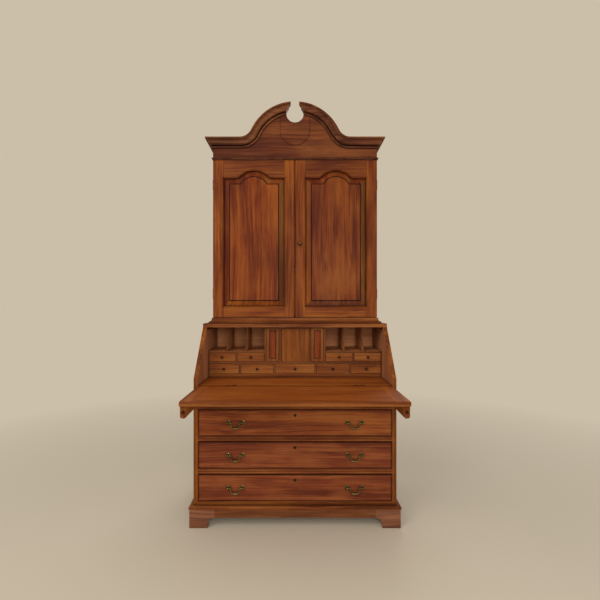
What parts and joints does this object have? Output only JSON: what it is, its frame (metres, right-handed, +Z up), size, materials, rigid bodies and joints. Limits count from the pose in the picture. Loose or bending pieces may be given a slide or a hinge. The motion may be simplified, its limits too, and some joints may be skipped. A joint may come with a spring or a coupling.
{
  "type": "escritoire",
  "caption": "Slant-front writing desk with long drawers, a fall front on lopers, a fitted gallery and a two-door bookcase under an arched broken pediment.",
  "frame": {"origin": "on the floor, in the middle of the overall box with the fall front open", "axes": "+Z up, -Y to the front where the writer sits, +X to the writer's right"},
  "size_m": [1.114, 0.9264, 2.351],
  "materials": {
    "case_wood": "waxed wood",
    "moulding_wood": "waxed wood",
    "panel_wood": "waxed wood",
    "drawer_front_wood": "waxed wood",
    "gallery_wood": "waxed wood",
    "inner_wood": "waxed wood",
    "brass": "dull, worn brass"
  },
  "bodies": {
    "case": {"desk_side_left": "case_wood", "desk_side_right": "case_wood", "desk_top_board": "case_wood", "writing_board": "case_wood", "drawer_dividers": "case_wood", "bookcase_sides": "case_wood", "tympanum_board": "case_wood", "base_moulding": "moulding_wood", "skirt_rails": "moulding_wood", "bracket_feet": "moulding_wood", "mid_moulding": "moulding_wood", "frieze_moulding": "moulding_wood", "cornice_moulding": "moulding_wood", "gallery_shelves": "gallery_wood", "gallery_partitions": "gallery_wood", "desk_bottom_board": "inner_wood", "drawer_runners": "inner_wood", "desk_back_boards": "inner_wood", "bookcase_boards": "inner_wood", "bookcase_shelves": "inner_wood", "bookcase_back_boards": "inner_wood", "case_hinge_leaves": "brass"},
    "fall_front": {"lid_board": "case_wood", "lid_end_cleats": "case_wood", "lid_brasses": "brass"},
    "left_door": {"left_door_frame": "case_wood", "left_door_panel": "panel_wood", "left_door_hinge_leaves": "brass"},
    "right_door": {"right_door_frame": "case_wood", "right_door_panel": "panel_wood", "right_door_brasses": "brass"},
    "left_loper": {"loper_left": "case_wood"},
    "right_loper": {"loper_right": "case_wood"},
    "prospect_leaf": {"prospect_door": "gallery_wood"},
    "long_drawer_1": {"drawer_1_front": "drawer_front_wood", "drawer_1_box": "inner_wood", "drawer_1_brasses": "brass"},
    "bail_1_left": {"drawer_1_left_bail": "brass"},
    "bail_1_right": {"drawer_1_right_bail": "brass"},
    "long_drawer_2": {"drawer_2_front": "drawer_front_wood", "drawer_2_box": "inner_wood", "drawer_2_brasses": "brass"},
    "bail_2_left": {"drawer_2_left_bail": "brass"},
    "bail_2_right": {"drawer_2_right_bail": "brass"},
    "long_drawer_3": {"drawer_3_front": "drawer_front_wood", "drawer_3_box": "inner_wood", "drawer_3_brasses": "brass"},
    "bail_3_left": {"drawer_3_left_bail": "brass"},
    "bail_3_right": {"drawer_3_right_bail": "brass"},
    "lower_drawer_1_body": {"lower_drawer_1": "gallery_wood"},
    "lower_drawer_2_body": {"lower_drawer_2": "gallery_wood"},
    "lower_drawer_3_body": {"lower_drawer_3": "gallery_wood"},
    "lower_drawer_4_body": {"lower_drawer_4": "gallery_wood"},
    "lower_drawer_5_body": {"lower_drawer_5": "gallery_wood"},
    "upper_drawer_1_body": {"upper_drawer_1": "gallery_wood"},
    "upper_drawer_2_body": {"upper_drawer_2": "gallery_wood"},
    "upper_drawer_3_body": {"upper_drawer_3": "gallery_wood"},
    "upper_drawer_4_body": {"upper_drawer_4": "gallery_wood"},
    "document_drawer_left_body": {"document_drawer_left": "gallery_wood"},
    "document_drawer_right_body": {"document_drawer_right": "gallery_wood"}
  },
  "joints": [
    {"name": "fall_hinge", "type": "hinge", "parent": "case", "child": "fall_front", "pos_m": [0, -0.09477, 0.7435], "axis": [1, 0, 0], "range_deg": [-131, 0]},
    {"name": "left_loper_slide", "type": "slide", "parent": "case", "child": "left_loper", "axis": [0, -1, 0], "range_m": [-0.3444, 0]},
    {"name": "right_loper_slide", "type": "slide", "parent": "case", "child": "right_loper", "axis": [0, -1, 0], "range_m": [-0.3444, 0]},
    {"name": "left_door_hinge", "type": "hinge", "parent": "case", "child": "left_door", "pos_m": [-0.4875, 0.19273, 1.559], "axis": [0, 0, -1], "range_deg": [0, 110]},
    {"name": "right_door_hinge", "type": "hinge", "parent": "case", "child": "right_door", "pos_m": [0.4875, 0.19273, 1.559], "axis": [0, 0, 1], "range_deg": [0, 110]},
    {"name": "drawer_1_slide", "type": "slide", "parent": "case", "child": "long_drawer_1", "axis": [0, -1, 0], "range_m": [0, 0.35]},
    {"name": "drawer_1_left_bail_swing", "type": "hinge", "parent": "long_drawer_1", "child": "bail_1_left", "pos_m": [-0.314, -0.11277, 0.54855], "axis": [-1, 0, 0], "range_deg": [0, 85]},
    {"name": "drawer_1_right_bail_swing", "type": "hinge", "parent": "long_drawer_1", "child": "bail_1_right", "pos_m": [0.314, -0.11277, 0.54855], "axis": [-1, 0, 0], "range_deg": [0, 85]},
    {"name": "drawer_2_slide", "type": "slide", "parent": "case", "child": "long_drawer_2", "axis": [0, -1, 0], "range_m": [0, 0.35]},
    {"name": "drawer_2_left_bail_swing", "type": "hinge", "parent": "long_drawer_2", "child": "bail_2_left", "pos_m": [-0.314, -0.11277, 0.37755], "axis": [-1, 0, 0], "range_deg": [0, 85]},
    {"name": "drawer_2_right_bail_swing", "type": "hinge", "parent": "long_drawer_2", "child": "bail_2_right", "pos_m": [0.314, -0.11277, 0.37755], "axis": [-1, 0, 0], "range_deg": [0, 85]},
    {"name": "drawer_3_slide", "type": "slide", "parent": "case", "child": "long_drawer_3", "axis": [0, -1, 0], "range_m": [0, 0.35]},
    {"name": "drawer_3_left_bail_swing", "type": "hinge", "parent": "long_drawer_3", "child": "bail_3_left", "pos_m": [-0.314, -0.11277, 0.20655], "axis": [-1, 0, 0], "range_deg": [0, 85]},
    {"name": "drawer_3_right_bail_swing", "type": "hinge", "parent": "long_drawer_3", "child": "bail_3_right", "pos_m": [0.314, -0.11277, 0.20655], "axis": [-1, 0, 0], "range_deg": [0, 85]},
    {"name": "lower_drawer_1_slide", "type": "slide", "parent": "case", "child": "lower_drawer_1_body", "axis": [0, -1, 0], "range_m": [0, 0.15]},
    {"name": "lower_drawer_2_slide", "type": "slide", "parent": "case", "child": "lower_drawer_2_body", "axis": [0, -1, 0], "range_m": [0, 0.15]},
    {"name": "lower_drawer_3_slide", "type": "slide", "parent": "case", "child": "lower_drawer_3_body", "axis": [0, -1, 0], "range_m": [0, 0.15]},
    {"name": "lower_drawer_4_slide", "type": "slide", "parent": "case", "child": "lower_drawer_4_body", "axis": [0, -1, 0], "range_m": [0, 0.15]},
    {"name": "lower_drawer_5_slide", "type": "slide", "parent": "case", "child": "lower_drawer_5_body", "axis": [0, -1, 0], "range_m": [0, 0.15]},
    {"name": "upper_drawer_1_slide", "type": "slide", "parent": "case", "child": "upper_drawer_1_body", "axis": [0, -1, 0], "range_m": [0, 0.15]},
    {"name": "upper_drawer_2_slide", "type": "slide", "parent": "case", "child": "upper_drawer_2_body", "axis": [0, -1, 0], "range_m": [0, 0.15]},
    {"name": "upper_drawer_3_slide", "type": "slide", "parent": "case", "child": "upper_drawer_3_body", "axis": [0, -1, 0], "range_m": [0, 0.15]},
    {"name": "upper_drawer_4_slide", "type": "slide", "parent": "case", "child": "upper_drawer_4_body", "axis": [0, -1, 0], "range_m": [0, 0.15]},
    {"name": "document_drawer_left_slide", "type": "slide", "parent": "case", "child": "document_drawer_left_body", "axis": [0, -1, 0], "range_m": [0, 0.15]},
    {"name": "document_drawer_right_slide", "type": "slide", "parent": "case", "child": "document_drawer_right_body", "axis": [0, -1, 0], "range_m": [0, 0.15]},
    {"name": "prospect_hinge", "type": "hinge", "parent": "case", "child": "prospect_leaf", "pos_m": [-0.0758, 0.18026, 0.93], "axis": [0, 0, -1], "range_deg": [0, 90]}
  ]
}
